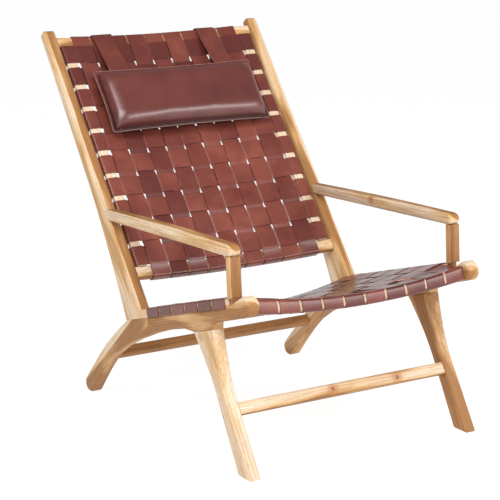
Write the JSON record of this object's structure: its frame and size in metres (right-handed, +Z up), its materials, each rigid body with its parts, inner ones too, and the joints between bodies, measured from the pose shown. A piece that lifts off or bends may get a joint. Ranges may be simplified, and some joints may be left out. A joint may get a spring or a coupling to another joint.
{
  "type": "lounge chair",
  "caption": "Low reclined lounge chair: pale timber frame with slim arms, a woven leather strap back and sling seat, and a padded leather head cushion hung from the top rail.",
  "frame": {"origin": "on the floor, under the middle of the chair's length and width", "axes": "+X to the right as seen from the front, -Y to the front where the sitter faces, +Z up"},
  "size_m": [0.65, 1.0218, 0.912],
  "materials": {
    "timber": "pale hardwood with brown grain, thin satin lacquer",
    "strap_leather": "red-brown saddle leather straps, smooth, satin",
    "cushion_leather": "red-brown upholstery leather, smooth, soft gloss"
  },
  "bodies": {
    "frame": {"side_rail_left": "timber", "side_rail_right": "timber", "front_leg_left": "timber", "front_leg_right": "timber", "back_stile_left": "timber", "back_stile_right": "timber", "arm_post_left": "timber", "arm_post_right": "timber", "armrest_left": "timber", "armrest_right": "timber", "top_back_rail": "timber", "bottom_back_rail": "timber", "back_batten_left": "timber", "back_batten_right": "timber", "front_seat_rail": "timber", "rear_seat_rail": "timber", "front_stretcher": "timber", "rear_stretcher": "timber", "back_strap_1": "strap_leather", "back_strap_2": "strap_leather", "back_strap_3": "strap_leather", "back_strap_4": "strap_leather", "back_strap_5": "strap_leather", "back_strap_6": "strap_leather", "back_strap_7": "strap_leather", "back_strap_8": "strap_leather", "back_strap_9": "strap_leather", "back_cross_strap_1": "strap_leather", "back_cross_strap_2": "strap_leather", "back_cross_strap_3": "strap_leather", "back_cross_strap_4": "strap_leather", "back_cross_strap_5": "strap_leather", "back_cross_strap_6": "strap_leather", "back_cross_strap_7": "strap_leather", "back_cross_strap_8": "strap_leather", "back_cross_strap_9": "strap_leather", "back_cross_strap_10": "strap_leather", "seat_strap_1": "strap_leather", "seat_strap_2": "strap_leather", "seat_strap_3": "strap_leather", "seat_strap_4": "strap_leather", "seat_strap_5": "strap_leather", "seat_strap_6": "strap_leather", "seat_strap_7": "strap_leather", "seat_strap_8": "strap_leather", "seat_strap_9": "strap_leather", "seat_strap_10": "strap_leather", "seat_cross_strap_1": "strap_leather", "seat_cross_strap_2": "strap_leather", "seat_cross_strap_3": "strap_leather", "seat_cross_strap_4": "strap_leather", "seat_cross_strap_5": "strap_leather", "seat_cross_strap_6": "strap_leather", "hang_anchor_left": "strap_leather", "hang_anchor_right": "strap_leather"},
    "head_rest": {"head_cushion": "cushion_leather", "hang_strap_left": "strap_leather", "hang_strap_right": "strap_leather"}
  },
  "joints": [
    {"name": "cushion_hang", "type": "hinge", "parent": "frame", "child": "head_rest", "pos_m": [0, 0.48409, 0.89162], "axis": [-1, 0, 0], "range_deg": [0, 110]}
  ]
}
